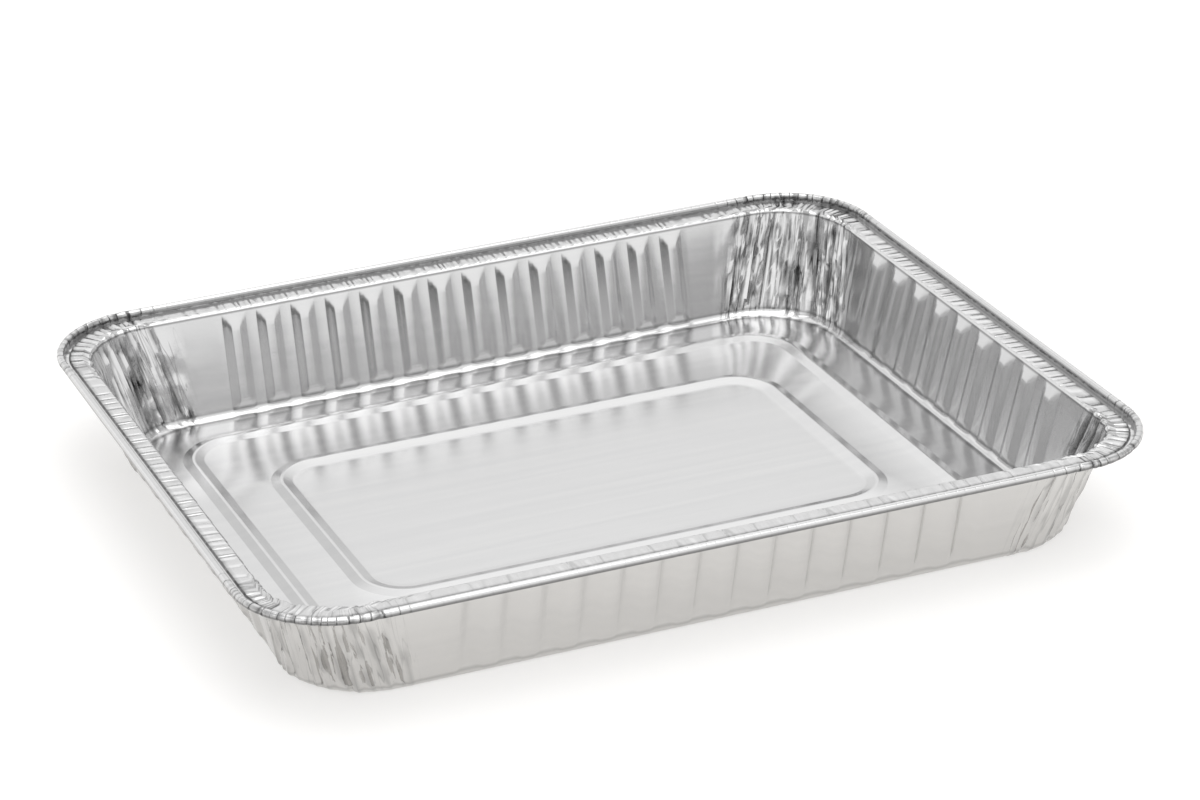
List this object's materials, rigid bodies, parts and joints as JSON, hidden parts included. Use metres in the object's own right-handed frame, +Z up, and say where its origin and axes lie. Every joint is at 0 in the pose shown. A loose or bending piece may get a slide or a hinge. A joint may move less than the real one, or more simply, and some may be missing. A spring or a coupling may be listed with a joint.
{
  "type": "foil baking tray",
  "caption": "Shallow rectangular foil tray with ridged sloping walls, gathered corners, a beaded floor and a rolled rim, for baking and serving food.",
  "frame": {"origin": "Middle of the flat underside, on the plane the tray rests on", "axes": "+X along the length, +Y across the width, +Z up"},
  "size_m": [0.324, 0.264, 0.0405],
  "materials": {
    "foil": "satin rolled foil"
  },
  "bodies": {
    "root": {"foil_tray": "foil"}
  },
  "joints": []
}
